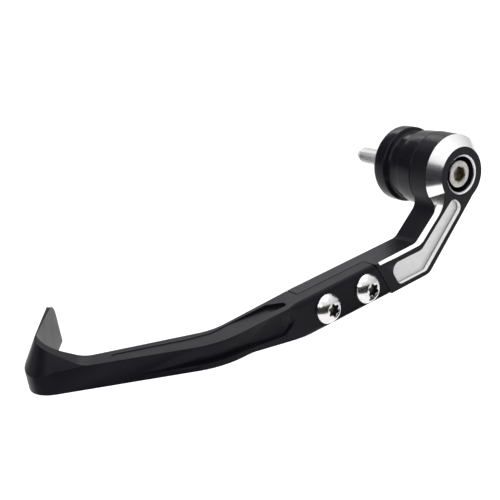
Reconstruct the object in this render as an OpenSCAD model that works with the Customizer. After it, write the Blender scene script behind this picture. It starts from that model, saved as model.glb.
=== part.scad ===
// Brake lever guard for the left end of a handlebar.
// Frame: the origin is on the bar axis, at the face that seats on the bar end.
// +X points outward along the bar, -Y points ahead of it and +Z is up.

/* [Bar-end boss] */
// Outer diameter of the round boss
boss_d = 28; // [26:0.5:30]
// Thickness of the arm and the boss
arm_t = 12; // [11:0.5:13]
// Leg of the bright chamfer round the boss
boss_bevel = 4; // [3:0.1:4.4]
// Diameter of the counterbore for the bolt head
cbore_d = 13; // [12.4:0.1:13.6]
// Leg of the chamfer at the mouth of the counterbore
cbore_bevel = 1; // [0.4:0.1:1.2]

/* [Bar bolt] */
// Thread diameter of the bar bolt
bolt_d = 6; // [5:1:6]
// Diameter of the plain shank between the head and the thread
bolt_shank_d = 5.6; // [4.6:0.1:5.8]
// Length of the bar bolt under its head
bolt_len = 45; // [40:1:60]
// Leg of the chamfer at the bolt's tip
bolt_tip = 0.8; // [0.4:0.1:1]
// Diameter of the bolt head
bolt_head_d = 10; // [9:0.5:10.5]
// Height of the bolt head
bolt_head_h = 6; // [5:0.5:6.5]
// Depth of the head's top below the front face
bolt_sink = 1.1; // [0.5:0.1:2]
// Size of the hexagon socket across its flats
bolt_hex = 5; // [4:0.5:5]
// Depth of the hexagon socket
bolt_hex_deep = 3; // [2:0.5:4]
// Gap all round between the bolt's thread and its holes
bolt_fit = 0.25; // [0.15:0.05:0.4]

/* [Collar] */
// Length of the collar between the arm and the bar end
collar_len = 20; // [18:1:24]
// Length of the collar's front barrel
barrel_len = 7.7; // [6:0.1:9]
// Diameter of the barrel where it meets the waist
barrel_end_d = 26.8; // [26:0.1:27.8]
// Length of the waist groove
waist_len = 6; // [5:0.1:7]
// Diameter at the bottom of the waist
waist_d = 24.2; // [22.6:0.1:25]
// Diameter of the rear flange
flange_d = 27.6; // [26.6:0.1:28]
// Radius of the rear flange's rounded rim
rim_r = 2.2; // [1:0.1:2.6]
// Length of the slope at each side of the waist
waist_slope = 0.8; // [0.6:0.1:1.4]
// Radius of the waist's corners
waist_r = 1.2; // [0.8:0.1:1.4]
// Radius of the rims beside the waist
waist_rim_r = 0.7; // [0.4:0.1:0.8]

/* [Arm] */
// Height of the bar axis above the arm's level top edge
arm_drop = 17; // [16.5:0.1:18]
// Height of the arm and the joint block
arm_h = 13.1; // [12.6:0.1:13.8]
// Slope of the arm's lower edge between the boss and the level part, in degrees
slope_low = 38; // [36:0.5:40]
// Slope of the arm's upper edge there, in degrees
slope_high = 35.5; // [34:0.5:37]
// Distance of the front face's upper edge from the bar axis, along the slope
face_high = 0.8; // [0.6:0.1:1.4]
// Leg of the bright chamfer along the upper edge
bevel_high = 1.3; // [0.8:0.1:1.5]
// Leg of the bright chamfer along the level top edge
bevel_top = 0.8; // [0.5:0.1:1.1]
// Leg of the fine chamfer along the bottom edge
bevel_low = 0.4; // [0.2:0.1:0.6]
// Leg of the edge break along the top, between the bright chamfer and the seam
bevel_seam = 0.15; // [0.1:0.05:0.3]
// Angle at which the lower flank runs in from the boss, in degrees
flank_taper = 5.8; // [4:0.2:7]
// Radius of the fillet between the boss and the upper edge
root_r = 4.5; // [3:0.5:5]
// Radius of the upper and lower edges where the slope turns level
turn_r = 5; // [3:0.5:7]

/* [Pocket] */
// Depth of the bare pocket milled in the arm's front face
pocket_deep = 1.8; // [1:0.1:3]
// Distance from the bar axis down the slope to the pocket
pocket_start = 8.3; // [8.1:0.1:9.5]
// Black margin between the pocket and the lower and level edges
pocket_margin = 2; // [1.8:0.1:2.4]
// Black margin between the pocket and the sloped upper edge
pocket_margin_high = 1.5; // [0.9:0.1:1.6]
// Distance from the seam of the joint back to the pocket
pocket_stop = 4.7; // [3.5:0.1:6]
// Radius of the pocket's round end at the boss
pocket_end_r = 2.5; // [1.6:0.1:2.6]
// Radius of the pocket's upper corner, beside the joint, and of its upper turn
pocket_high_r = 3; // [2:0.1:4]
// Radius of the pocket's lower corner, beside the joint, and of its lower turn
pocket_low_r = 2; // [1.2:0.1:2.6]

/* [Joint] */
// Distance from the bar axis forward to the outer joint screw
joint_y = 68.8; // [66:0.2:72]
// Distance between the two joint screws
joint_pitch = 18; // [17:0.5:19]
// Thickness of the bow's front half at the joint
lap_t = 6.5; // [6:0.1:7]
// Slant of the joint's seam on the front face, in degrees
seam_slant = 21.5; // [15:0.5:24]
// Distance from the inner joint screw back to the middle of the seam
seam_back = 8.1; // [7.6:0.1:9]
// Distance from the outer joint screw forward to the end of the arm's tongue
tongue_end = 6.5; // [5.5:0.1:7]
// Gap along the seam and at the end of the tongue
lap_fit = 0.15; // [0.05:0.05:0.25]
// Radius of the joint block's long front edges
block_r = 2; // [1:0.1:2.4]
// Thread diameter of the joint screws
screw_d = 6; // [5:0.5:6]
// Diameter of the joint screws' button heads
screw_head_d = 10.4; // [9.5:0.1:11]
// Height of the joint screws' heads
screw_head_h = 3.2; // [2.8:0.1:3.6]
// Height of the straight rim under each dome
screw_rim = 0.4; // [0.3:0.1:0.8]
// Size of the six-lobe recess across its lobes
lobe_d = 4.6; // [4:0.1:5]
// Depth of the six-lobe recess
lobe_deep = 1.8; // [1.4:0.1:2]
// Half the depth of the waves between the lobes
lobe_wave = 0.33; // [0.25:0.01:0.4]
// Width of the flat ring round the recess
lobe_land = 0.3; // [0.2:0.1:0.5]
// Distance of the screws' tips short of the back face
screw_short = 0.5; // [0.3:0.1:1.5]
// Gap all round the joint screws in their holes
screw_fit = 0.1; // [0.1:0.05:0.25]

/* [Bow] */
// Distance from the bar axis forward to the corner of the bend
bend_y = 113.3; // [110:0.5:120]
// Turn of the bow's bend, in degrees
bend_turn = 37.7; // [34:0.5:42]
// Outer radius of the bend
bend_r = 24.5; // [18:0.5:28]
// Length of the limb from the bend's corner to the hook's corner
limb_len = 65.4; // [60:0.5:72]
// Distance from the bar axis forward to where the bow's back slims
slim_y = 84; // [82:0.5:88]
// Thickness of the bow where its back slims
slim_t = 11.6; // [11:0.1:12]
// Thickness of the neck, just before the bend
neck_t = 10.3; // [9.8:0.1:10.8]
// Thickness of the limb at the bend's corner
limb_root_t = 11.4; // [10.8:0.1:12]
// Thickness of the limb at the hook's corner
limb_tip_t = 5.4; // [5:0.1:6.4]
// Inner radius of the bend
bend_inner_r = 16; // [8:1:20]
// Height of the limb
limb_h = 8.4; // [7.8:0.05:9]
// Distance from the bar axis forward to where the underside starts to rise
rise_y = 76; // [75:0.5:82]
// Distance from the bar axis forward to where the underside is level again
rise_end_y = 102; // [98:0.5:106]
// Radius of the underside where it comes level
rise_r = 20; // [10:1:30]

/* [Hook] */
// Turn of the hook at the end of the bow, in degrees
hook_turn = 92.8; // [88:0.2:96]
// Outer radius of the hook
hook_r = 10; // [9.6:0.2:12]
// Inner radius of the hook
hook_inner_r = 8; // [6:0.5:9]
// Length of the fin, from the corner of the hook to its free end
fin_len = 41.4; // [36:0.2:44]
// Thickness of the fin's base at its root
fin_root_t = 5; // [4.8:0.1:5.6]
// Thickness of the fin's base at its free end
fin_end_t = 6; // [5:0.1:6.4]
// Inward lean of the outer face above its crease, in degrees from upright
face_lean = 30.5; // [26:0.5:33]
// Distance from the hook's corner back along the limb to where the leaning face begins
crease_back = 21.5; // [19:0.5:24]
// Angle at which the leaning face runs in from the limb's front face, in degrees
crease_turn = 2.4; // [1:0.2:5]
// Radius of the leaning face round the hook, at the level of the limb's top
crease_r = 11.2; // [11:0.2:15]
// Distance of the leaning face in from the fin's outer face, at the level of the limb's top
crease_in = 0.5; // [0.2:0.1:2]
// Steepness of the ramp that raises the hook, in degrees
ramp_slope = 27; // [24:0.2:28]
// Distance from the hook's corner back along the limb to the foot of the ramp
ramp_back = 21; // [17:0.2:23]
// Radius at the foot of the ramp
ramp_r = 12; // [6:1:16]
// Radius of the fin's upper free corner
fin_corner_r = 5; // [3:0.5:6]

/* [Top groove] */
// Distance from the bar axis forward to the start of the groove
groove_y = 82.5; // [81:0.1:85]
// Width of the groove's square end
groove_start_w = 3; // [2:0.1:4]
// Length over which the groove widens to the rear
groove_flare = 4.4; // [3:0.1:6]
// Radius of the groove's front corner at its start
groove_start_r = 1.9; // [1:0.1:2]
// Radius of the groove's rear corners at its start
groove_flare_r = 1; // [0.6:0.1:1.4]
// Inset of the groove's front edge from the front face, along the neck
groove_front = 2.8; // [2.4:0.1:3.4]
// Inset of the groove's rear edge from the front face, along the neck
groove_rear = 9.5; // [8.6:0.1:9.6]
// Inset of the groove's front edge from the front face, round the bend
groove_bend_front = 4.3; // [3.6:0.1:5]
// Inset of the groove's rear edge from the front face, round the bend
groove_bend_rear = 9; // [8:0.1:9.2]
// Inset of the groove's rear edge from the front face, where it narrows past the bend
groove_limb_rear = 7.2; // [6.6:0.1:7.6]
// Distance from the bend's corner along the limb to where it narrows
groove_limb_s = 11; // [9:0.5:14]
// Inset of the groove's front edge from the front face, at its end
groove_end_front = 2.6; // [2.2:0.1:3.2]
// Inset of the groove's rear edge from the front face, at its end
groove_end_rear = 5.3; // [4.8:0.1:5.8]
// Distance from the bend's corner along the limb to the end of the groove
groove_reach = 35.3; // [30:0.1:38]
// Radius of the groove's corners at its end
groove_end_r = 1.2; // [0.8:0.1:1.2]
// Radius of the groove's edges round the bend
groove_bend_r = 7; // [4:0.5:9]
// Depth of the groove at its start
groove_deep = 2.1; // [1.6:0.1:2.4]
// Depth of the groove beyond its sloped floor
groove_shallow = 0.8; // [0.5:0.1:1.2]
// Length of the groove's sloped floor
groove_slope_len = 20; // [12:0.5:26]

/* [Front flute] */
// Distance from the bar axis forward to the pointed start of the flute
flute_y = 82.8; // [81.5:0.1:85]
// Height of the strip left above the flute
flute_rim = 0.8; // [0.6:0.1:1.2]
// Depth of the flute at its start
flute_start_deep = 1.1; // [0.8:0.1:1.4]
// Depth of the flute round the bend
flute_deep = 2; // [1.6:0.1:2.6]
// Height of the lip left below the flute, at its start
flute_lip_start = 2.6; // [2.2:0.1:3]
// Height of the lip left below the flute, round the bend
flute_lip = 2; // [1:0.1:2.4]
// Distance from the bend's corner along the limb to where the flute fades out
flute_fade = 30; // [26:0.5:36]
// Distance over which the flute opens from its point to its full height
flute_open = 5; // [4:0.5:7]
// Height of the flute's blunt point
flute_tip_h = 0.1; // [0.1:0.1:0.5]

/* [Hidden] */

black = "#1c1c1f";
gloss_black = "#121214";
steel = "#c3c6ca";

round_fn = 96;
arc_n = 12;
root_n = 20;
boss_n = 56;
eps = 0.01;
over = 1;
reach = 60;

// Planes along the bar axis
back_x = collar_len;
face_x = collar_len + arm_t;
lap_x = face_x - lap_t;

// Boss and bolt
boss_r = boss_d / 2;
ring_r = boss_r - boss_bevel;
bolt_seat_x = face_x - bolt_sink - bolt_head_h;
bolt_hole_d = bolt_d + 2 * bolt_fit;

// Levels of the arm, the joint block and the bow
top_z = -arm_drop;
low_z = top_z - arm_h;
mid_z = (top_z + low_z) / 2;
limb_low_z = top_z - limb_h;

// Places along the joint
screw_ys = [-joint_y, joint_pitch - joint_y];
seam_y = joint_pitch - joint_y + seam_back;
tongue_y = -joint_y - tongue_end;

// Heading h is measured from -Y toward -X: the unit vector along it, and to its inner side
function along(h) = [-sin(h), -cos(h)];
function inward(h) = [-cos(h), sin(h)];

// Slope a falls forward from the bar axis in (Y, Z): the unit vector down it, and out of its lower side
function down(a) = [-cos(a), -sin(a)];
function under(a) = [sin(a), -cos(a)];

function unit(v) = v / norm(v);
function xy(p) = [p[0], p[1]];
function cross2(a, b) = a[0] * b[1] - a[1] * b[0];

// Crossing of the line through p along u with the line through q along v
function meet(p, u, q, v) = p + u * cross2(q - p, v) / cross2(u, v);

// Points of the arc of radius r that rounds the corner c between a and b
function corner_arc(a, c, b, r, n = arc_n) =
    let(u = unit(a - c), v = unit(b - c), half = acos(u * v) / 2)
    let(m = c + unit(u + v) * r / sin(half), sweep = 180 - 2 * half)
    let(s = c + u * r / tan(half) - m, e = c + v * r / tan(half) - m)
    [for (k = [0 : n]) m + (s * sin(sweep * (1 - k / n)) + e * sin(sweep * k / n)) / sin(sweep)];

// Outline through the corners [u, v, radius], each rounded unless its radius is 0
function rounded(c, n = arc_n) =
    let(m = len(c))
    [for (i = [0 : m - 1]) each c[i][2] == 0 ? [xy(c[i])]
        : corner_arc(xy(c[(i + m - 1) % m]), xy(c[i]), xy(c[(i + 1) % m]), c[i][2], n)];

// Corners of the bow in plan, along its front face and its inner side
fin_h = bend_turn + hook_turn;
bend_p = [face_x, -bend_y];
hook_p = bend_p + limb_len * along(bend_turn);
fin_p = hook_p + fin_len * along(fin_h);
fin_end_p = fin_p + fin_end_t * inward(fin_h);
fin_in_dir = unit(fin_end_p - hook_p - fin_root_t * inward(fin_h));
limb_root_p = bend_p + limb_root_t * inward(bend_turn);
limb_in_dir = unit(hook_p + limb_tip_t * inward(bend_turn) - limb_root_p);
slim_p = [face_x - slim_t, -slim_y];
neck_p = meet(limb_root_p, limb_in_dir, [face_x - neck_t, 0], [0, 1]);
hook_in_p = meet(limb_root_p, limb_in_dir, fin_end_p, fin_in_dir);

// Point and inward direction on the front face at path length s from the start of the bend's arc
bend_set = bend_r * tan(bend_turn / 2);
bend_arc = bend_r * bend_turn * PI / 180;
bend_c = [face_x - bend_r, bend_set - bend_y];
function front_h(s) = bend_turn * min(max(s / bend_arc, 0), 1);
function front_p(s) = bend_c - bend_r * inward(front_h(s)) +
    (s - front_h(s) / bend_turn * bend_arc) * along(front_h(s));

// Height of the bow's underside at y
function underside(y) = low_z + (limb_low_z - low_z) * min(max((-y - rise_y) / (rise_end_y - rise_y), 0), 1);

// Solid through a stack of loops, which run anticlockwise seen from the last one
module loft(loops) {
    n = len(loops[0]);
    m = len(loops);
    sides = [for (j = [0 : m - 2], i = [0 : n - 1]) let(a = j * n + i, b = j * n + (i + 1) % n)
        each [[a, b + n, b], [a, a + n, b + n]]];
    ends = [[for (i = [0 : n - 1]) i], [for (i = [n - 1 : -1 : 0]) (m - 1) * n + i]];
    polyhedron([for (l = loops) each l], concat(sides, ends));
}

// Outline drawn in (Y, Z), extruded from x0 to x1
module plate(x0, x1) {
    translate([x0, 0, 0]) rotate([90, 0, 90]) linear_extrude(x1 - x0) children();
}

// Outline drawn in (path length, Z), extruded across the heading h through p
module across(p, h) {
    translate([p[0], p[1], 0]) rotate([90, 0, -90 - h]) translate([0, 0, -reach]) linear_extrude(2 * reach) children();
}

// Cone or round bar along X
module bar_x(x0, x1, d0, d1) {
    translate([x0, 0, 0]) rotate([0, 90, 0]) cylinder(d1 = d0, d2 = d1, h = x1 - x0, $fn = round_fn);
}

module rod_x(x0, x1, d) {
    bar_x(x0, x1, d, d);
}

module at_screws() {
    for (y = screw_ys) translate([0, y, mid_z]) children();
}

// Points of the arc of radius r about c, from angle a0 to a1
function arc(c, r, a0, a1, n) = [for (k = [0 : n]) let(a = a0 + (a1 - a0) * k / n) c + r * [cos(a), sin(a)]];

// Centre of the fillet between the boss and the arm's upper edge, and its angles at both
root_d = face_high - bevel_high - root_r;
root_c = root_d * under(slope_high) + sqrt(pow(boss_r + root_r, 2) - root_d * root_d) * down(slope_high);
root_a0 = slope_high - 90;
root_a1 = atan2(-root_c[1], -root_c[0]);

// Leg of the chamfer round the fillet, which widens from the arm (t = 0) to the boss (t = 1)
function root_leg(t) = bevel_high + (boss_bevel - bevel_high) * t * t;

// Side of the arm in (Y, Z): the edge of its wall (f = 0) and of its front face (f = 1)
function arm_side(f) =
    let(r = boss_r - f * boss_bevel, low_a = slope_low + (1 - f) * flank_taper)
    let(low_p = r * under(low_a), high_p = (face_high - (1 - f) * bevel_high) * under(slope_high))
    let(bottom = low_z + f * bevel_low, top = top_z - f * bevel_top)
    let(brink = top_z - f * bevel_seam, end = tongue_y + f * bevel_low)
    let(low_turn = meet(low_p, down(low_a), [0, bottom], [1, 0]))
    let(high_turn = meet(high_p, down(slope_high), [0, top], [1, 0]))
    concat(
        corner_arc(low_p, low_turn, [end, bottom], turn_r),
        [[end, bottom], [end, brink], [seam_y - 2 * bevel_top, brink], [seam_y - bevel_top, top]],
        corner_arc([end, top], high_turn, high_p, turn_r + f * bevel_top),
        [for (k = [0 : root_n]) let(t = k / root_n, a = root_a0 + (root_a1 - root_a0) * t)
            root_c + (root_r + f * root_leg(t)) * [cos(a), sin(a)]],
        arc([0, 0], r, root_a1 + 180, low_a - 90, boss_n));

module arm_blank() {
    face = arm_side(1);
    wall = arm_side(0);
    intersection() {
        loft([[for (i = [0 : len(wall) - 1]) let(p = face[i] + over * unit(face[i] - wall[i]))
                  [face_x + over, p[0], p[1]]],
              [for (i = [0 : len(wall) - 1]) [face_x - norm(wall[i] - face[i]), wall[i][0], wall[i][1]]],
              [for (p = wall) [back_x - over, p[0], p[1]]]]);
        translate([back_x, -2 * reach, -reach]) cube([arm_t, 3 * reach, 2 * reach]);
    }
}

module pocket_outline() {
    low_q = (ring_r - pocket_margin) * under(slope_low);
    high_q = (face_high + pocket_margin_high) * under(slope_high);
    start_q = pocket_start * down(slope_low);
    stop_q = [seam_y + pocket_stop, mid_z];
    stop_v = [-sin(seam_slant), cos(seam_slant)];
    low_w = low_z + pocket_margin;
    high_w = top_z - bevel_top - pocket_margin;
    polygon(rounded([
        concat(meet(start_q, under(slope_low), high_q, down(slope_high)), pocket_end_r),
        concat(meet(start_q, under(slope_low), low_q, down(slope_low)), pocket_end_r),
        concat(meet(low_q, down(slope_low), [0, low_w], [1, 0]), pocket_low_r),
        concat(meet([0, low_w], [1, 0], stop_q, stop_v), pocket_low_r),
        concat(meet(stop_q, stop_v, [0, high_w], [1, 0]), pocket_high_r),
        concat(meet([0, high_w], [1, 0], high_q, down(slope_high)), pocket_high_r)]));
}

// Half-planes before and beyond the slanted seam, in (Y, Z), with the seam moved to y
module beyond_seam(y) {
    translate([y, mid_z]) rotate(seam_slant) translate([-2 * reach, -reach]) square(2 * reach);
}

module before_seam(y) {
    translate([y, mid_z]) rotate(seam_slant) translate([0, -reach]) square(2 * reach);
}

module guard_arm() {
    color(black) difference() {
        arm_blank();
        rod_x(back_x - over, face_x + over, bolt_hole_d);
        rod_x(bolt_seat_x, face_x + over, cbore_d);
        bar_x(face_x - cbore_bevel, face_x + over, cbore_d, cbore_d + 2 * (cbore_bevel + over));
        plate(face_x - pocket_deep, face_x + over) pocket_outline();
        plate(lap_x, face_x + over) beyond_seam(seam_y);
        at_screws() rod_x(back_x - over, face_x + over, screw_d);
    }
}

// Outline of the bow in plan
module bow_plan() {
    polygon(rounded([
        [face_x, seam_y + arm_h, 0],
        concat(bend_p, bend_r),
        concat(hook_p, hook_r),
        concat(fin_p, 0),
        concat(fin_end_p, 0),
        concat(hook_in_p, hook_inner_r),
        concat(neck_p, bend_inner_r),
        concat(slim_p, 0),
        [back_x, tongue_y, 0],
        [back_x, seam_y + arm_h, 0]]));
}

// Room behind the leaning face of the hook, at height z
function lean_loop(z) =
    let(off = (z - top_z) * tan(face_lean), u = along(bend_turn + crease_turn))
    let(b = bend_p + (limb_len - crease_back) * along(bend_turn) + off * inward(bend_turn))
    let(c = hook_p + (off + crease_in) * inward(fin_h), a = b - 3 * reach * u, e = c + reach * along(fin_h))
    [for (w = rounded([concat(a, 0), concat(meet(b, u, c, along(fin_h)), crease_r - off), concat(e, 0),
                       [e[0], 0, 0], [a[0], 0, 0]]))
        [w[0], w[1], z]];

// Space above the bow's top face, which ramps up to the hook
module above_bow() {
    foot = limb_len - ramp_back;
    far = limb_len + reach;
    across(bend_p, bend_turn) polygon(rounded([
        [-2 * reach, top_z, 0],
        [foot, top_z, ramp_r],
        [far, top_z + (far - foot) * tan(ramp_slope), 0],
        [far, reach, 0],
        [-2 * reach, reach, 0]]));
}

// Space below the bow's underside, which rises from the joint block to the limb
module below_bow() {
    run = (rise_end_y - rise_y) / (limb_low_z - low_z);
    plate(-2 * reach, face_x + over) polygon(rounded([
        [over * run - rise_y, low_z - over, 0],
        [-rise_end_y, limb_low_z, rise_r],
        [-4 * reach, limb_low_z, 0],
        [-4 * reach, low_z - over, 0]]));
}

// Space outside the rounded upper corner of the fin's free end
module beyond_fin_corner() {
    ramp = (fin_end_p - bend_p) * along(bend_turn) - limb_len + ramp_back;
    z = top_z + ramp * tan(ramp_slope);
    across(fin_end_p, fin_h) polygon(concat(
        corner_arc([-reach, z], [0, z], [0, z - reach], fin_corner_r),
        [[over, z - fin_corner_r], [over, z + arm_t], [-fin_corner_r, z + arm_t]]));
}

// Section outside an edge of radius r on the front face, at height z, with the metal below or above it
// and clear of it by off
function edge_loop(y, z, r, side, off = 0) =
    let(a = face_x + off, b = z + side * off)
    let(arc = corner_arc([a - reach, b], [a, b], [a, b - side * reach], r))
    [for (w = concat(arc, [[a + r, b - side * r], [a + r, b + side * r], [a - r, b + side * r]])) [w[0], y, w[1]]];

// Space outside the joint block's rounded front edges; the upper rounding fades out toward the flute
module beyond_block_edges() {
    loft([edge_loop(0, top_z, block_r, 1), edge_loop(-joint_y - 2 * screw_d, top_z, block_r, 1),
          edge_loop(-flute_y - 3, top_z, flute_rim / 2, 1, flute_rim / 4)]);
    loft([edge_loop(-flute_y - arm_h, low_z, block_r, -1), edge_loop(0, low_z, block_r, -1)]);
}

// Corner of the groove's path round the bend, at an inset from the front face
function bend_corner(off) = meet([face_x - off, 0], [0, 1], bend_p + off * inward(bend_turn), along(bend_turn));

// Outline of the groove: it starts near the front edge, widens along the neck and narrows along the limb
module groove_outline() {
    end_p = bend_p + groove_reach * along(bend_turn);
    limb_p = bend_p + groove_limb_s * along(bend_turn);
    v = inward(bend_turn);
    polygon(rounded([
        [face_x - groove_front, -groove_y, groove_start_r],
        concat(bend_corner(groove_bend_front), groove_bend_r),
        concat(end_p + groove_end_front * v, groove_end_r),
        concat(end_p + groove_end_rear * v, groove_end_r),
        concat(limb_p + groove_limb_rear * v, groove_bend_r),
        concat(bend_corner(groove_bend_rear), groove_bend_r),
        [face_x - groove_rear, -groove_y - groove_flare, groove_flare_r],
        [face_x - groove_front - groove_start_w, -groove_y, groove_flare_r]]));
}

module groove() {
    intersection() {
        translate([0, 0, top_z - arm_h]) linear_extrude(arm_h + over) groove_outline();
        plate(-reach, face_x + over) polygon([
            [0, top_z - groove_deep],
            [-groove_y, top_z - groove_deep],
            [-groove_y - groove_slope_len, top_z - groove_shallow],
            [-4 * reach, top_z - groove_shallow],
            [-4 * reach, reach],
            [0, reach]]);
    }
}

// Section of the flute at path length s: a sloped face down from its top, and a ledge at its foot
function flute_loop(s, top, foot, deep) =
    let(p = front_p(s), v = inward(front_h(s)))
    [for (w = [[-deep / 4, top + (top - foot) / 4], [deep, foot], [-over, foot]])
        [p[0] + w[0] * v[0], p[1] + w[0] * v[1], w[1]]];

module flute() {
    top = top_z - flute_rim;
    foot = limb_low_z + flute_lip;
    start_s = flute_y - bend_y + bend_set;
    open_foot = underside(-flute_y - flute_open) + flute_lip_start;
    open_h = top - open_foot;
    tip_z = (top + open_foot) / 2;
    fade_s = bend_arc + flute_fade - bend_set + over;
    loft(concat(
        [flute_loop(start_s, tip_z + flute_tip_h, tip_z, flute_start_deep),
         flute_loop(start_s + flute_open / 3, top - open_h / 8, open_foot + open_h / 4, flute_start_deep),
         flute_loop(start_s + flute_open, top, open_foot, flute_start_deep)],
        [for (k = [0 : arc_n]) flute_loop(bend_arc * k / arc_n, top, foot, flute_deep)],
        [flute_loop(fade_s, top, foot, -flute_tip_h)]));
}

module guard_bow() {
    color(black) difference() {
        intersection() {
            translate([0, 0, low_z]) linear_extrude(2 * arm_h) bow_plan();
            loft([lean_loop(top_z + (crease_r - 1) / tan(face_lean)), lean_loop(low_z - over)]);
        }
        above_bow();
        below_bow();
        beyond_fin_corner();
        beyond_block_edges();
        groove();
        flute();
        plate(back_x - over, lap_x) polygon([
            [reach, -reach], [reach, reach], [tongue_y - lap_fit, reach], [tongue_y - lap_fit, -reach]]);
        plate(back_x - over, face_x + over) before_seam(seam_y - lap_fit);
        at_screws() rod_x(back_x - over, face_x + over, screw_d);
    }
}

// Six-lobe outline of a screw's recess
module lobes() {
    polygon([for (a = [0 : 10 : 350]) (lobe_d / 2 - lobe_wave + lobe_wave * cos(6 * a)) * [cos(a), sin(a)]]);
}

// Button head: a rim, a dome and a flat top round the recess
module button_head() {
    r = screw_head_d / 2;
    flat_r = lobe_d / 2 + lobe_land;
    dome = screw_head_h - screw_rim;
    sag = (r * r - flat_r * flat_r - dome * dome) / (2 * dome);
    dome_r = norm([r, sag]);
    a0 = atan2(sag, r);
    a1 = atan2(sag + dome, flat_r);
    difference() {
        translate([face_x, 0, 0]) rotate([0, 90, 0]) rotate_extrude($fn = round_fn)
            polygon(concat([[0, 0], [r, 0]], arc([0, screw_rim - sag], dome_r, a0, a1, 8), [[0, screw_head_h]]));
        plate(face_x + screw_head_h - lobe_deep, face_x + screw_head_h + over) lobes();
    }
}

module joint_screw() {
    union() {
        rod_x(back_x + screw_short, face_x + eps, screw_d - 2 * screw_fit);
        button_head();
    }
}

module joint_screws() {
    color(steel) at_screws() joint_screw();
}

module bar_bolt() {
    top_x = bolt_seat_x + bolt_head_h;
    tip_x = bolt_seat_x - bolt_len;
    color(steel) difference() {
        union() {
            rod_x(bolt_seat_x, top_x - bolt_tip / 2, bolt_head_d);
            bar_x(top_x - bolt_tip / 2, top_x, bolt_head_d, bolt_head_d - bolt_tip);
            rod_x(0, bolt_seat_x + eps, bolt_shank_d);
            rod_x(tip_x + bolt_tip, 0, bolt_d);
            bar_x(tip_x, tip_x + bolt_tip, bolt_d - 2 * bolt_tip, bolt_d);
        }
        translate([top_x - bolt_hex_deep, 0, 0]) rotate([0, 90, 0])
            cylinder(d = bolt_hex / cos(30), h = bolt_hex_deep + over, $fn = 6);
    }
}

module bar_collar() {
    bore_r = bolt_hole_d / 2;
    waist_x = collar_len - barrel_len - waist_len;
    barrel_x = collar_len - barrel_len;
    color(gloss_black) rotate([0, 90, 0]) rotate_extrude($fn = round_fn) polygon(rounded([
        [bore_r, 0, 0],
        [flange_d / 2, 0, rim_r],
        [flange_d / 2, waist_x, waist_rim_r],
        [waist_d / 2, waist_x + waist_slope, waist_r],
        [waist_d / 2, barrel_x - waist_slope, waist_r],
        [barrel_end_d / 2, barrel_x, waist_rim_r],
        [boss_d / 2, collar_len, 0],
        [bore_r, collar_len, 0]], 5));
}

guard_arm();
guard_bow();
joint_screws();
bar_bolt();
bar_collar();
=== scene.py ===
"""Looks of the brake lever guard: black anodised arm and bow, bright chamfers, polished screws."""
import math

import bmesh
import bpy
from mathutils import Matrix, Vector


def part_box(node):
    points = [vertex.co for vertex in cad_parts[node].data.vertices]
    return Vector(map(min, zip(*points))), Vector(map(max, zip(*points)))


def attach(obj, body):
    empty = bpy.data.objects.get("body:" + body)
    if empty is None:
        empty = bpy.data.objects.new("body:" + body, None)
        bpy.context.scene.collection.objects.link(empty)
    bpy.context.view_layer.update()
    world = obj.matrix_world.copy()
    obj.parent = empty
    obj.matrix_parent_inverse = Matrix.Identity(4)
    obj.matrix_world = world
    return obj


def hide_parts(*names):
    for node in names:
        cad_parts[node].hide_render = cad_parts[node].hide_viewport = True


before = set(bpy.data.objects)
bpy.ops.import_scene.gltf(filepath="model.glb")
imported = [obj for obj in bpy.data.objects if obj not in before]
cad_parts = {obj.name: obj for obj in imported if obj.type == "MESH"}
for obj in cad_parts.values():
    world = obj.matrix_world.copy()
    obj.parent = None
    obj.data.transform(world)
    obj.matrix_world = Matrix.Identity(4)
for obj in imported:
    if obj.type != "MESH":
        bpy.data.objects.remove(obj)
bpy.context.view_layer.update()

MM = 0.001
MICRON = 0.000001

# Planes and sizes of the guard, in metres
FACE_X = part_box("guard_arm")[1].x
REAR_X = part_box("guard_arm")[0].x
BOSS_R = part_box("guard_arm")[1].z
COUNTERBORE_R = 6.5 * MM
MOUTH_R = 7.5 * MM
MOUTH_DEEP = 1.0 * MM
POCKET_FLOOR_X = FACE_X - 1.8 * MM
CHAMFER_END_Y = -43.4 * MM
SCREW_Y = -68.8 * MM
SCREW_Z = -23.55 * MM
LAP_X = FACE_X - 6.5 * MM
SEAM_Y = -42.7 * MM
SEAM_LEAN = math.tan(math.radians(21.5))
TONGUE_Y = -75.3 * MM
TOP_Z = -17.0 * MM
GROOVE_Y = -80.0 * MM
GROOVE_LEAST, GROOVE_MOST = 0.5 * MM, 2.3 * MM

# Small forms that are drawn otherwise than in the solids
FINE_MOUTH_R = 7.1 * MM
FINE_MOUTH_DEEP = 0.6 * MM
LAP_GAP = 0.1 * MM
STOP_GAP = 0.08 * MM
GROOVE_LIFT = 0.55 * MM

# Widths of the broken edges
POCKET_EDGE = 0.45 * MM
WIDE_EDGE = 0.3 * MM
FINE_EDGE = 0.09 * MM

# The joint screws' sizes, in millimetres
HEAD_R, LAND_R, RECESS_R, SHANK_R = 5.2, 2.6, 2.3, 2.9
RIM_HIGH, HEAD_HIGH, RECESS_DEEP = 0.4, 3.2, 1.8
SHANK_LONG, SCREW_PITCH = 11.5, 18.0

# How far a normal leans to an axis where its face is slanted, faces along it, or is square to it
SLANT_LEAST, SLANT_MOST = 0.5, 0.95
FACING, SQUARE = 0.9, 0.98

# The camera, fitted to the photograph
CAMERA_AT = Vector((368.456, -325.737, 168.576)) * MM
CAMERA_RIGHT = Vector((0.61186, 0.77127, -0.17543))
CAMERA_BACK = Vector((0.7678, -0.5259, 0.3660))
LENS_MM = 100
SENSOR_MM = 36

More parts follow.
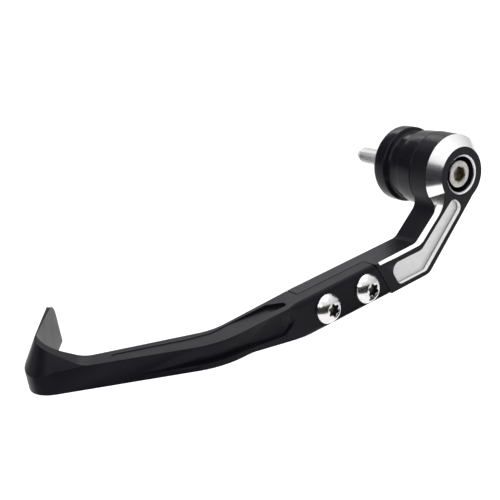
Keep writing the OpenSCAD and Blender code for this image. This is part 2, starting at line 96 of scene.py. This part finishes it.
# The stage, in metres, with the tent's brightness at the table and overhead
FLOOR_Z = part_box("guard_bow")[0].z - 0.14
FLOOR_HALF = 6.0
TENT_LOW, TENT_HIGH, TENT_RISE = 0.62, 1.15, 0.8
CLOTH_CENTRE = Vector((0.03, -0.03, 0))
ON_TABLE = FLOOR_Z + 0.001


def link_to_scene(piece):
    bpy.context.scene.collection.objects.link(piece)
    return piece


def near(value, other, within):
    """Whether a coordinate or a radius lies within so many millimetres of another."""
    return abs(value - other) < within * MM


class Finish:
    """A node material that is built up step by step over the piece's own object coordinates."""

    def __init__(self, name, metallic=0.0):
        self.material = bpy.data.materials.new(name)
        self.material.use_nodes = True
        self.tree = self.material.node_tree
        self.shader = self.tree.nodes["Principled BSDF"]
        self.shader.inputs["Metallic"].default_value = metallic
        self.place = self.tree.nodes.new("ShaderNodeTexCoord").outputs["Object"]
        self.relief = None

    def node(self, kind, **settings):
        node = self.tree.nodes.new(kind)
        for key, value in settings.items():
            setattr(node, key, value)
        return node

    def plug(self, value, socket):
        """Link a field to a socket, or set a constant on it."""
        if isinstance(value, bpy.types.NodeSocket):
            self.tree.links.new(value, socket)
        else:
            socket.default_value = value

    def stretched(self, scale, turn=(0, 0, 0)):
        """The piece's coordinates, turned and stretched."""
        node = self.node("ShaderNodeMapping")
        node.inputs["Rotation"].default_value = turn
        node.inputs["Scale"].default_value = scale
        self.plug(self.place, node.inputs["Vector"])
        return node.outputs["Vector"]

    def noise(self, scale, detail=3.0, vector=None, rough=0.5):
        node = self.node("ShaderNodeTexNoise")
        node.inputs["Scale"].default_value = scale
        node.inputs["Detail"].default_value = detail
        node.inputs["Roughness"].default_value = rough
        self.plug(self.place if vector is None else vector, node.inputs["Vector"])
        return node.outputs["Fac"]

    def coordinate(self, axis):
        """One of the piece's coordinates."""
        node = self.node("ShaderNodeSeparateXYZ")
        self.plug(self.place, node.inputs["Vector"])
        return node.outputs[axis]

    def radial(self):
        """The way straight out from the bar axis."""
        return self.stretched((0, 1, 1))

    def ring_noise(self, scale):
        """Fine grooves round the bar axis, as a lathe leaves them."""
        radius = self.node("ShaderNodeVectorMath", operation="LENGTH")
        self.plug(self.radial(), radius.inputs[0])
        node = self.node("ShaderNodeTexNoise", noise_dimensions="1D")
        node.inputs["Scale"].default_value = scale
        node.inputs["Detail"].default_value = 2
        self.plug(radius.outputs["Value"], node.inputs["W"])
        return node.outputs["Fac"]

    def spread(self, factor, low, high, start=0.3, stop=0.7):
        """A factor that runs from start to stop, spread from low to high."""
        node = self.node("ShaderNodeMapRange")
        span = (("From Min", start), ("From Max", stop), ("To Min", low), ("To Max", high))
        for name, value in span:
            node.inputs[name].default_value = value
        self.plug(factor, node.inputs["Value"])
        return node.outputs["Result"]

    def tint(self, factor, dark, light):
        node = self.node("ShaderNodeMix", data_type="RGBA")
        node.inputs["A"].default_value = (*dark, 1)
        node.inputs["B"].default_value = (*light, 1)
        self.plug(factor, node.inputs["Factor"])
        return node.outputs["Result"]

    def colour(self, factor, dark, light):
        self.plug(self.tint(factor, dark, light), self.shader.inputs["Base Color"])

    def roughness(self, factor, low, high):
        self.plug(self.spread(factor, low, high), self.shader.inputs["Roughness"])

    def bump(self, factor, depth):
        """Fine relief of a real depth in metres, laid over the relief before it."""
        node = self.node("ShaderNodeBump")
        node.inputs["Strength"].default_value = 1
        node.inputs["Distance"].default_value = depth
        self.plug(factor, node.inputs["Height"])
        if self.relief is not None:
            self.plug(self.relief, node.inputs["Normal"])
        self.relief = node.outputs["Normal"]
        self.plug(self.relief, self.shader.inputs["Normal"])


BLACK_DYE = (0.0048, 0.0043, 0.0062)
DYED_SHEEN = (0.95, 0.92, 1.0, 1)

# The end mill's lines are long along the arm, and turn where it bends from sloping to level
ALONG_ARM = (1, 0.1, 1)
ARM_SLOPE = (math.radians(-37), 0, 0)
BEND_FROM_Y, BEND_TO_Y = -31 * MM, -27 * MM


def satin_anodising(name, sheen):
    """Black anodised aluminium: a blasted grain, faint clouds of dye and traces of the mill."""
    finish = Finish(name)
    finish.shader.inputs["Specular IOR Level"].default_value = sheen
    finish.shader.inputs["Specular Tint"].default_value = DYED_SHEEN
    clouds = finish.noise(110, 4)
    finish.colour(clouds, BLACK_DYE, (0.0075, 0.0068, 0.0094))
    finish.roughness(clouds, 0.27, 0.36)
    finish.bump(finish.noise(900, 2, finish.stretched((1, 0.08, 1))), 1.5 * MICRON)
    finish.bump(finish.noise(3200, 2), 3 * MICRON)
    return finish.material


def gloss_anodising():
    """The collar's glossy black: turned rings under a slightly wavy polish."""
    finish = Finish("gloss_black")
    finish.shader.inputs["Specular IOR Level"].default_value = 0.13
    finish.shader.inputs["Specular Tint"].default_value = DYED_SHEEN
    clouds = finish.noise(260, 4)
    finish.colour(clouds, BLACK_DYE, (0.008, 0.0075, 0.01))
    finish.roughness(clouds, 0.14, 0.24)
    finish.bump(finish.noise(240, 2), 30 * MICRON)
    finish.bump(finish.ring_noise(4200), 1.5 * MICRON)
    return finish.material


def milled_aluminium(name, dark, light):
    """Bare aluminium with the fine lines of a small end mill, which follow the arm."""
    finish = Finish(name, 1.0)
    level = finish.stretched(ALONG_ARM)
    slope = finish.stretched(ALONG_ARM, ARM_SLOPE)
    side = finish.spread(finish.coordinate("Y"), 0, 1, BEND_FROM_Y, BEND_TO_Y)
    lines = finish.node("ShaderNodeMix", data_type="FLOAT")
    finish.plug(side, lines.inputs["Factor"])
    finish.plug(finish.noise(2600, 3, level), lines.inputs["A"])
    finish.plug(finish.noise(2600, 3, slope), lines.inputs["B"])
    cut = lines.outputs["Result"]
    finish.colour(cut, (dark, dark, dark * 1.01), (light, light, light))
    finish.roughness(cut, 0.32, 0.46)
    finish.bump(cut, 6 * MICRON)
    finish.bump(finish.noise(2200, 2), 2 * MICRON)
    return finish.material


def pocket_wall():
    """The pocket's scraped wall, painted near-white as a highlight, with painted shade along its
    foot.
    """
    finish = Finish("pocket_wall")
    # Painted shade: the wall's colour runs dark close to the pocket floor, where the corner lies in
    # shade.
    shade_from, shade_to = POCKET_FLOOR_X + 0.12 * MM, POCKET_FLOOR_X + 0.42 * MM
    unshaded = finish.spread(finish.coordinate("X"), 0, 1, shade_from, shade_to)
    finish.colour(unshaded, (0.12, 0.12, 0.12), (0.97, 0.97, 0.97))
    scrapes = finish.noise(2600, 3, finish.stretched(ALONG_ARM))
    finish.roughness(scrapes, 0.3, 0.45)
    finish.bump(scrapes, 4 * MICRON)
    return finish.material


def turned_aluminium():
    """Bare aluminium turned about the bar axis, with the sheen drawn across the grooves."""
    finish = Finish("turned_bright", 1.0)
    rings = finish.ring_noise(7000)
    finish.colour(rings, (0.84, 0.845, 0.85), (0.94, 0.94, 0.94))
    finish.roughness(rings, 0.16, 0.24)
    finish.shader.inputs["Anisotropic"].default_value = 0.75
    finish.plug(finish.radial(), finish.shader.inputs["Tangent"])
    finish.bump(rings, 2 * MICRON)
    return finish.material


def polished_steel():
    """Bright plated steel with faint haze and hairlines."""
    finish = Finish("polished_steel", 1.0)
    haze = finish.noise(900, 4)
    finish.colour(haze, (0.58, 0.57, 0.57), (0.8, 0.79, 0.79))
    finish.roughness(haze, 0.16, 0.22)
    finish.bump(finish.noise(1400, 3, finish.stretched((1, 1, 0.25))), 1.2 * MICRON)
    return finish.material


def recess_painted_dark():
    """The dull walls of a pressed recess, painted dark as shade in the recess."""
    finish = Finish("recess_steel_painted_dark", 1.0)
    grit = finish.noise(2400, 4, None, 0.7)
    finish.colour(grit, (0.05, 0.048, 0.042), (0.2, 0.19, 0.17))
    finish.roughness(grit, 0.3, 0.55)
    finish.bump(grit, 20 * MICRON)
    return finish.material


def stainless_steel(name, dark, light, dull):
    """Stainless steel, softly brushed and a little worn."""
    finish = Finish(name, 1.0)
    wear = finish.noise(420, 4, None, 0.6)
    finish.colour(wear, dark, light)
    finish.roughness(wear, dull, dull + 0.14)
    finish.bump(wear, 4 * MICRON)
    return finish.material


def socket_painted_dark():
    """The brownish walls of the bolt's hexagon, painted dark as shade in the socket."""
    finish = Finish("socket_steel", 1.0)
    stain = finish.noise(700, 4, None, 0.65)
    finish.colour(stain, (0.13, 0.115, 0.085), (0.5, 0.46, 0.38))
    finish.roughness(stain, 0.3, 0.45)
    finish.bump(stain, 15 * MICRON)
    return finish.material


def place_camera():
    """The camera that took the photograph."""
    data = bpy.data.cameras.new("camera")
    data.lens = LENS_MM
    data.sensor_width = SENSOR_MM
    data.clip_start = 0.01
    camera = link_to_scene(bpy.data.objects.new("camera", data))
    up = CAMERA_BACK.cross(CAMERA_RIGHT)
    turn = Matrix((CAMERA_RIGHT, up, CAMERA_BACK)).transposed().to_4x4()
    camera.matrix_world = Matrix.Translation(CAMERA_AT) @ turn
    bpy.context.scene.camera = camera


def softbox(name, at, aim, width, height, radiance):
    """A rectangular studio light of a given radiance."""
    data = bpy.data.lights.new(name, "AREA")
    data.shape = "RECTANGLE"
    data.size = width
    data.size_y = height
    data.energy = radiance * math.pi * width * height
    light = link_to_scene(bpy.data.objects.new(name, data))
    light.location = at
    light.rotation_euler = (Vector(aim) - Vector(at)).to_track_quat("-Z", "Y").to_euler()


def light_studio():
    """A white tent, brighter overhead, with a softbox above, one in front and one high behind."""
    world = bpy.data.worlds.new("studio")
    world.use_nodes = True
    tree = world.node_tree
    back = tree.nodes["Background"]
    place = tree.nodes.new("ShaderNodeTexCoord")
    split = tree.nodes.new("ShaderNodeSeparateXYZ")
    rise = tree.nodes.new("ShaderNodeMapRange")
    for name, value in (("From Min", 0.0), ("From Max", TENT_RISE),
                        ("To Min", TENT_LOW), ("To Max", TENT_HIGH)):
        rise.inputs[name].default_value = value
    tree.links.new(place.outputs["Generated"], split.inputs["Vector"])
    tree.links.new(split.outputs["Z"], rise.inputs["Value"])
    tree.links.new(rise.outputs["Result"], back.inputs["Strength"])
    back.inputs["Color"].default_value = (1, 1, 1, 1)
    bpy.context.scene.world = world
    bpy.context.scene.view_settings.view_transform = "Standard"
    softbox("top_softbox", at=(-0.05, -0.02, 0.9), aim=(0, -0.07, 0),
            width=1.1, height=1.1, radiance=0.9)
    softbox("front_softbox", at=(0.187, -0.787, 0.52), aim=(0.02, -0.165, -0.02),
            width=0.6, height=0.25, radiance=3.0)
    softbox("back_softbox", at=(-0.9, 0.3, 0.75), aim=(0, -0.05, 0),
            width=0.9, height=0.4, radiance=2.5)


def lay_floor():
    """A pale sweep well below the part."""
    mesh = bpy.data.meshes.new("floor")
    corners = [(x * FLOOR_HALF, y * FLOOR_HALF, FLOOR_Z)
               for x, y in ((-1, -1), (1, -1), (1, 1), (-1, 1))]
    mesh.from_pydata(corners, [], [(0, 1, 2, 3)])
    finish = Finish("paper")
    fibres = finish.noise(900, 3)
    finish.colour(finish.noise(3), (0.94, 0.94, 0.94), (0.96, 0.96, 0.96))
    finish.roughness(fibres, 0.85, 0.95)
    mesh.materials.append(finish.material)
    link_to_scene(bpy.data.objects.new("floor", mesh))


def dark_cloth():
    finish = Finish("dark_cloth")
    finish.colour(finish.noise(400), (0.008, 0.008, 0.01), (0.014, 0.014, 0.017))
    finish.roughness(finish.noise(900), 0.9, 1.0)
    return finish.material


def hang_flag(name, cloth, first, last, strips):
    """Dark cloth round the table between two headings, through strips of (reach, height)."""
    steps = 40
    points, faces = [], []
    for k in range(steps + 1):
        heading = math.radians(first + (last - first) * k / steps)
        out = Vector((math.sin(heading), -math.cos(heading), 0))
        for reach, height in strips:
            points.append(CLOTH_CENTRE + out * reach + Vector((0, 0, height)))
    for k in range(steps):
        for j in range(len(strips) - 1):
            a = k * len(strips) + j
            b = a + len(strips)
            faces.append((a, a + 1, b + 1, b))
    show_in_reflections(name, cloth, points, faces)


def hang_card(name, cloth, centre, face_to, radius):
    """A small round dark card turned to a point."""
    centre = Vector(centre)
    side = (Vector(face_to) - centre).orthogonal().normalized()
    other = (Vector(face_to) - centre).normalized().cross(side)
    corners = 24
    angles = [math.tau * k / corners for k in range(corners)]
    points = [centre + radius * (side * math.cos(a) + other * math.sin(a)) for a in angles]
    show_in_reflections(name, cloth, points, [tuple(range(corners))])


def show_in_reflections(name, cloth, points, faces):
    """Stage a dark shape that only reflections show."""
    mesh = bpy.data.meshes.new(name)
    mesh.from_pydata(points, [], faces)
    mesh.materials.append(cloth)
    flag = link_to_scene(bpy.data.objects.new(name, mesh))
    flag.visible_camera = False
    flag.visible_diffuse = False
    flag.visible_shadow = False
    flag.visible_transmission = False


def smooth(mesh, angle):
    """Shade a mesh smooth, apart from edges that turn by more than an angle in degrees."""
    mesh.shade_smooth()
    mesh.set_sharp_from_angle(angle=math.radians(angle))


def dress(mesh, materials, angle):
    """Give a mesh its materials and smooth it up to an angle."""
    mesh.materials.clear()
    for material in materials:
        mesh.materials.append(material)
    smooth(mesh, angle)


def settle(piece, node):
    """Fix a finished piece to the guard, in place of its CAD node."""
    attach(piece, "root")
    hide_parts(node)


def edge_break(at):
    """Width of an edge's rounding: wider at the pocket's foot, the seams and the boss's back."""
    if near(at.x, POCKET_FLOOR_X, within=0.02) and at.y > CHAMFER_END_Y:
        return POCKET_EDGE
    lap = near(at.x, LAP_X, within=0.1)
    seam = at.x > LAP_X and near(at.y, SEAM_Y - (at.z - SCREW_Z) * SEAM_LEAN, within=0.4)
    tongue = near(at.y, TONGUE_Y, within=0.3)
    boss = near(at.x, REAR_X, within=0.1) and near(math.hypot(at.y, at.z), BOSS_R, within=0.1)
    return WIDE_EDGE if lap or seam or tongue or boss else FINE_EDGE


def machined_piece(node, name, materials, broader=1, angle=25, reshape=None, clamp=False):
    """A merged copy of a CAD node with its edges finely broken, or broader by a factor."""
    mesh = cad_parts[node].data.copy()
    mesh.name = name
    shape = bmesh.new()
    shape.from_mesh(mesh)
    bmesh.ops.remove_doubles(shape, verts=shape.verts, dist=2 * MICRON)
    flat_within = math.radians(0.5)
    bmesh.ops.dissolve_limit(shape, angle_limit=flat_within, verts=shape.verts, edges=shape.edges)
    if reshape:
        reshape(shape)
    weight = shape.edges.layers.float.new("bevel_weight_edge")
    for edge in shape.edges:
        if edge.calc_face_angle(0) > math.radians(angle):
            middle = (edge.verts[0].co + edge.verts[1].co) / 2
            edge[weight] = edge_break(middle) / POCKET_EDGE
    shape.to_mesh(mesh)
    shape.free()
    dress(mesh, materials, angle)
    piece = link_to_scene(bpy.data.objects.new(name, mesh))
    modifier = piece.modifiers.new("broken_edges", "BEVEL")
    modifier.width = broader * POCKET_EDGE
    modifier.segments = 2
    modifier.limit_method = "WEIGHT"
    modifier.harden_normals = True
    modifier.use_clamp_overlap = clamp
    return piece


def narrow_mouth(shape):
    """The counterbore's chamfer is fine: its ring is drawn in and raised."""
    for vert in shape.verts:
        radius = math.hypot(vert.co.y, vert.co.z)
        if near(vert.co.x, FACE_X, within=0.01) and near(radius, MOUTH_R, within=0.05):
            vert.co.yz = vert.co.yz * (FINE_MOUTH_R / radius)
        deep = near(vert.co.x, FACE_X - MOUTH_DEEP, within=0.01)
        if deep and near(radius, COUNTERBORE_R, within=0.05):
            vert.co.x = FACE_X - FINE_MOUTH_DEEP


def settle_bow(shape):
    """The groove's level floor close under the top face, and open seams round the arm's tongue."""
    lap, stop, floor = set(), set(), set()
    for face in shape.faces:
        middle, normal = face.calc_center_median(), face.normal
        if normal.x < -FACING and near(middle.x, LAP_X, within=0.3):
            lap.update(face.verts)
        if normal.y > FACING and near(middle.y, TONGUE_Y, within=0.6) and middle.x < LAP_X:
            stop.update(face.verts)
        sunk = GROOVE_LEAST < TOP_Z - middle.z < GROOVE_MOST
        if normal.z > SQUARE and sunk and middle.y < GROOVE_Y:
            floor.update(face.verts)
    for vert in lap:
        vert.co.x += LAP_GAP
    for vert in stop:
        vert.co.y -= STOP_GAP
    for vert in floor:
        vert.co.z += GROOVE_LIFT


BLACK, TURNED, MILLED, CUT, WALL = range(5)


def finish_arm(mesh):
    """Bright-cut faces: turned on the boss and its counterbore, milled on the arm and pocket."""
    pocket_low, pocket_high = POCKET_FLOOR_X - 0.02 * MM, FACE_X - 0.1 * MM
    for face in mesh.polygons:
        c, n = face.center, face.normal
        slanted = SLANT_LEAST < n.x < SLANT_MOST
        pocket = pocket_low < c.x < pocket_high and c.y > CHAMFER_END_Y
        if slanted and math.hypot(c.y, c.z) < BOSS_R:
            face.material_index = TURNED
        elif pocket and n.x > FACING:
            face.material_index = MILLED
        elif pocket:
            face.material_index = WALL
        elif slanted and c.y > CHAMFER_END_Y:
            face.material_index = CUT
        else:
            face.material_index = BLACK


def turned_mesh(name, rings, around):
    """A closed shape about the bar axis, through rings of (x, radius at an angle)."""
    points, faces = [], []
    for x, radius in rings:
        for k in range(around):
            angle = math.tau * k / around
            r = radius(angle, x) if callable(radius) else radius
            points.append((x, r * math.cos(angle), r * math.sin(angle)))
    for j in range(len(rings) - 1):
        for k in range(around):
            a, b = j * around + k, j * around + (k + 1) % around
            faces.append((a, b, b + around, a + around))
    first, last = len(points), len(points) + 1
    points += [(rings[0][0], 0, 0), (rings[-1][0], 0, 0)]
    tail = (len(rings) - 1) * around
    for k in range(around):
        faces.append((first, (k + 1) % around, k))
        faces.append((last, tail + k, tail + (k + 1) % around))
    mesh = bpy.data.meshes.new(name)
    mesh.from_pydata(points, [], faces)
    return mesh


def bar_bolt_mesh():
    """A socket cap bolt: hexagon socket, rounded head, plain shank, a real thread and a tip."""
    seat, top, tip = FACE_X - 7.1 * MM, FACE_X - 1.1 * MM, FACE_X - 52.1 * MM
    pitch, crest, root = 1.0 * MM, 3.0 * MM, 2.42 * MM
    head, shank, tip_radius = 5.0 * MM, 2.8 * MM, 2.2 * MM
    under_edge, top_edge = 0.1 * MM, 0.5 * MM
    plain_tip, lead_in, crest_flat, rings_a_turn = 0.2 * MM, 1.2 * MM, 0.12, 8
    flats, corner_cut = 2.5 * MM, 1.13

    def hexagon(grow):
        def radius(angle, x):
            turn = (angle + math.pi / 6) % (math.pi / 3) - math.pi / 6
            return min((flats + grow) / math.cos(turn), (flats + grow) * corner_cut)
        return radius

    def thread(angle, x):
        wave = abs(((x / pitch - angle / math.tau) % 1) * 2 - 1)
        fade = min(max((x - tip - plain_tip) / lead_in, 0), 1)
        height = min(max((wave - crest_flat) / (1 - 2 * crest_flat), 0), 1)
        return root + (crest - root) * height * fade

    rings = [(tip, tip_radius)]
    count = int(round(-tip / pitch * rings_a_turn))
    rings += [(tip + 0.05 * MM - tip * k / count, thread) for k in range(count)]
    rings += [(0.1 * MM, shank), (seat, shank), (seat, head - under_edge), (seat + under_edge, head)]
    for angle in (math.radians(degrees) for degrees in range(0, 91, 15)):
        rings.append((top - top_edge + top_edge * math.sin(angle),
                      head - top_edge + top_edge * math.cos(angle)))
    rings += [(top, 3.05 * MM), (top - 0.22 * MM, hexagon(0.02 * MM)), (top - 3.0 * MM, hexagon(0)),
              (top - 3.7 * MM, 0.3 * MM)]
    return turned_mesh("bar_bolt", rings, 72)


HEAD, SOCKET, THREAD = range(3)
SOCKET_R = 2.95 * MM
SOCKET_END_X = FACE_X - 4.9 * MM


def finish_bolt(mesh):
    """The worn head and shank, painted dark as shade; the socket, painted dark as shade; and the
    duller tail, painted light as a highlight.
    """
    for face in mesh.polygons:
        x, radius = face.center.x, math.hypot(face.center.y, face.center.z)
        if radius < SOCKET_R and x > SOCKET_END_X:
            face.material_index = SOCKET
        else:
            face.material_index = THREAD if x < 0 else HEAD


def screw_tree(bright, dark):
    """Geometry nodes for a row of button-head screws with six-lobe recesses."""
    tree = bpy.data.node_groups.new("button_screws", "GeometryNodeTree")
    sizes = (("Head Radius", HEAD_R), ("Recess Radius", RECESS_R), ("Shank Radius", SHANK_R),
             ("Rim Height", RIM_HIGH), ("Head Height", HEAD_HIGH), ("Recess Depth", RECESS_DEEP),
             ("Shank Length", SHANK_LONG), ("Pitch", SCREW_PITCH))
    new_socket = tree.interface.new_socket
    for name, size in sizes:
        socket = new_socket(name, in_out="INPUT", socket_type="NodeSocketFloat")
        socket.default_value = size * MM
    first = new_socket("First Screw", in_out="INPUT", socket_type="NodeSocketVector")
    new_socket("Geometry", in_out="OUTPUT", socket_type="NodeSocketGeometry")
    given = tree.nodes.new("NodeGroupInput").outputs

    def add(kind, links=(), **settings):
        node = tree.nodes.new(kind)
        for key, value in settings.items():
            setattr(node, key, value)
        for key, value in links:
            if isinstance(value, bpy.types.NodeSocket):
                tree.links.new(value, node.inputs[key])
            else:
                node.inputs[key].default_value = value
        return node

    def math_of(operation, a, b=0.0, c=0.0):
        return add("ShaderNodeMath", [(0, a), (1, b), (2, c)], operation=operation).outputs[0]

    def vector_of(x=0.0, y=0.0, z=0.0):
        return add("ShaderNodeCombineXYZ", [(0, x), (1, y), (2, z)]).outputs[0]

    def vector_math(operation, a, b, output="Vector"):
        return add("ShaderNodeVectorMath", [(0, a), (1, b)], operation=operation).outputs[output]

    widths = vector_of(given["Head Radius"], given["Recess Radius"], given["Shank Radius"])
    heights = vector_of(given["Rim Height"], given["Head Height"], given["Recess Depth"])
    at = add("ShaderNodeSeparateXYZ", [(0, add("GeometryNodeInputPosition").outputs[0])]).outputs
    outward = add("ShaderNodeVectorMath", [(0, vector_of(at[0], at[1]))],
                  operation="NORMALIZE").outputs[0]
    lobes, lobe_deep = 6.0, 0.145
    wave = math_of("COSINE", math_of("MULTIPLY", math_of("ARCTAN2", at[1], at[0]), lobes))
    lobe = math_of("MULTIPLY_ADD", wave, lobe_deep, 1 - lobe_deep)

    circle = add("GeometryNodeMeshCircle", [("Vertices", 72), ("Radius", given["Shank Radius"])],
                 fill_type="NGON")
    drop = vector_of(z=math_of("MULTIPLY", given["Shank Length"], -1.0))
    start = add("GeometryNodeSetPosition", [("Geometry", circle.outputs[0]), ("Offset", drop)])
    shape, edge = start.outputs[0], None

    def ring(width, height, lobed=False, recess=False):
        """One more ring: its radius and height are mixed from the named sizes."""
        nonlocal shape, edge
        links = [("Mesh", shape), ("Offset Scale", 0.0)]
        if edge is not None:
            links.append(("Selection", edge))
        pulled = add("GeometryNodeExtrudeMesh", links, mode="EDGES")
        radius = vector_math("DOT_PRODUCT", widths, width, "Value")
        if lobed:
            radius = math_of("MULTIPLY", radius, lobe)
        across = add("ShaderNodeVectorMath", [(0, outward), ("Scale", radius)],
                     operation="SCALE").outputs[0]
        along = vector_of(z=vector_math("DOT_PRODUCT", heights, height, "Value"))
        spot = vector_math("ADD", across, along)
        moved = add("GeometryNodeSetPosition",
                    [("Geometry", pulled.outputs["Mesh"]), ("Selection", pulled.outputs["Top"]),
                     ("Position", spot)])
        shape, edge = moved.outputs[0], pulled.outputs["Top"]
        if recess:
            mark = add("GeometryNodeStoreNamedAttribute",
                       [("Geometry", shape), ("Selection", pulled.outputs["Side"]),
                        ("Name", "recess"), ("Value", True)],
                       data_type="BOOLEAN", domain="FACE")
            shape = mark.outputs[0]

    # The shank and the rim
    ring((0, 0, 1), (0, 0, 0))
    ring((1, 0, 0), (0, 0, 0))
    ring((1, 0, 0), (1, 0, 0))

    # The dome, part of a sphere from the rim up to the land round the recess
    rise = HEAD_HIGH - RIM_HIGH
    sag = (HEAD_R * HEAD_R - LAND_R * LAND_R - rise * rise) / (2 * rise)
    dome = math.hypot(HEAD_R, sag)
    low, high = math.atan2(sag, HEAD_R), math.atan2(sag + rise, LAND_R)
    dome_rings = 12
    for k in range(1, dome_rings + 1):
        angle = low + (high - low) * k / dome_rings
        reach = (dome * math.cos(angle) - LAND_R) / (HEAD_R - LAND_R)
        lift = (dome * math.sin(angle) - sag) / rise
        ring((reach, (1 - reach) * LAND_R / RECESS_R, 0), (1 - lift, lift, 0))

    # The recess: its wider mouth, its drafted wall and the point of its floor
    mouth, mouth_deep, foot, point_deep = 1.08, 0.07, 0.98, 1.15
    ring((0, mouth, 0), (0, 1, 0), lobed=True)
    ring((0, 1, 0), (0, 1, -mouth_deep), lobed=True, recess=True)
    ring((0, foot, 0), (0, 1, -1), lobed=True, recess=True)
    ring((0, 0, 0), (0, 1, -point_deep), recess=True)
    closed = add("GeometryNodeMergeByDistance", [("Geometry", shape), ("Distance", MICRON)])

    row = add("GeometryNodeMeshLine",
              [("Count", 2), ("Start Location", given["First Screw"]),
               ("Offset", vector_of(y=given["Pitch"]))])
    placed = add("GeometryNodeInstanceOnPoints",
                 [("Points", row.outputs[0]), ("Instance", closed.outputs[0]),
                  ("Rotation", (0, math.pi / 2, 0))])
    real = add("GeometryNodeRealizeInstances", [("Geometry", placed.outputs[0])])
    plated = add("GeometryNodeSetMaterial", [("Geometry", real.outputs[0]), ("Material", bright)])
    marked = add("GeometryNodeInputNamedAttribute", [("Name", "recess")], data_type="BOOLEAN")
    last = add("GeometryNodeSetMaterial",
               [("Geometry", plated.outputs[0]), ("Selection", marked.outputs["Attribute"]),
                ("Material", dark)])
    finish = tree.nodes.new("NodeGroupOutput")
    tree.links.new(last.outputs[0], finish.inputs[0])
    return tree, first.identifier


def joint_screw_heads():
    """The two joint screws, grown by geometry nodes and kept as a plain mesh."""
    tree, first_screw = screw_tree(polished_steel(), recess_painted_dark())
    seed = link_to_scene(bpy.data.objects.new("screw_seed", bpy.data.meshes.new("screw_seed")))
    modifier = seed.modifiers.new("screws", "NODES")
    modifier.node_group = tree
    modifier[first_screw] = (FACE_X, SCREW_Y, SCREW_Z)
    grown = seed.evaluated_get(bpy.context.evaluated_depsgraph_get())
    mesh = bpy.data.meshes.new_from_object(grown)
    mesh.name = "joint_screw_heads"
    dull_end = FACE_X - (SHANK_LONG - 0.5) * MM
    for face in mesh.polygons:
        if face.center.x < dull_end:
            face.material_index = 1
    bpy.data.objects.remove(seed)
    smooth(mesh, 32)
    return link_to_scene(bpy.data.objects.new("joint_screw_heads", mesh))


place_camera()
light_studio()
lay_floor()
cloth = dark_cloth()
hang_flag("front_flag", cloth, first=-34, last=102,
          strips=[(0.4, ON_TABLE), (1.0, ON_TABLE), (1.0, 0.58)])
hang_flag("left_flag", cloth, first=-100, last=-46.5, strips=[(0.5, 0.05), (0.5, 0.6)])
hang_flag("back_flag", cloth, first=-118, last=-100, strips=[(0.5, 0.32), (0.5, 0.6)])
# Painted shade: a dark card close under the boss stands in for the part's own shadow on the table
# below, and only reflections show it.
hang_card("shadow_stand_in_card", cloth, centre=(0.0504, -0.0195, -0.0616),
          face_to=(0.03, -0.01, -0.006), radius=0.028)

# The pocket floor's milled aluminium is a darker copy of the chamfer's, its colour lowered as
# painted shade.
arm_finishes = [satin_anodising("satin_arm", 0.12), turned_aluminium(),
                milled_aluminium("milled_floor_painted_darker", 0.5, 0.74),
                milled_aluminium("milled_bright", 0.84, 0.95), pocket_wall()]
arm = machined_piece("guard_arm", "arm", arm_finishes, reshape=narrow_mouth, clamp=True)
finish_arm(arm.data)
settle(arm, "guard_arm")

bow = machined_piece("guard_bow", "bow", [satin_anodising("satin_bow", 0.085)], reshape=settle_bow)
settle(bow, "guard_bow")

settle(joint_screw_heads(), "joint_screws")

collar = machined_piece("bar_collar", "collar", [gloss_anodising()], broader=2, angle=30)
settle(collar, "bar_collar")

bolt_mesh = bar_bolt_mesh()
bolt = link_to_scene(bpy.data.objects.new("bolt", bolt_mesh))
# The head's stainless is worn and mottled, with its colour lowered as painted shade; the thread's
# copy is painted lighter as a highlight.
head_steel = stainless_steel("worn_stainless_painted_dark", (0.14, 0.135, 0.13), (0.66, 0.64, 0.62), 0.2)
thread_steel = stainless_steel("thread_painted_bright", (0.55, 0.55, 0.54), (0.8, 0.8, 0.79), 0.36)
dress(bolt_mesh, [head_steel, socket_painted_dark(), thread_steel], 35)
finish_bolt(bolt_mesh)
settle(bolt, "bar_bolt")
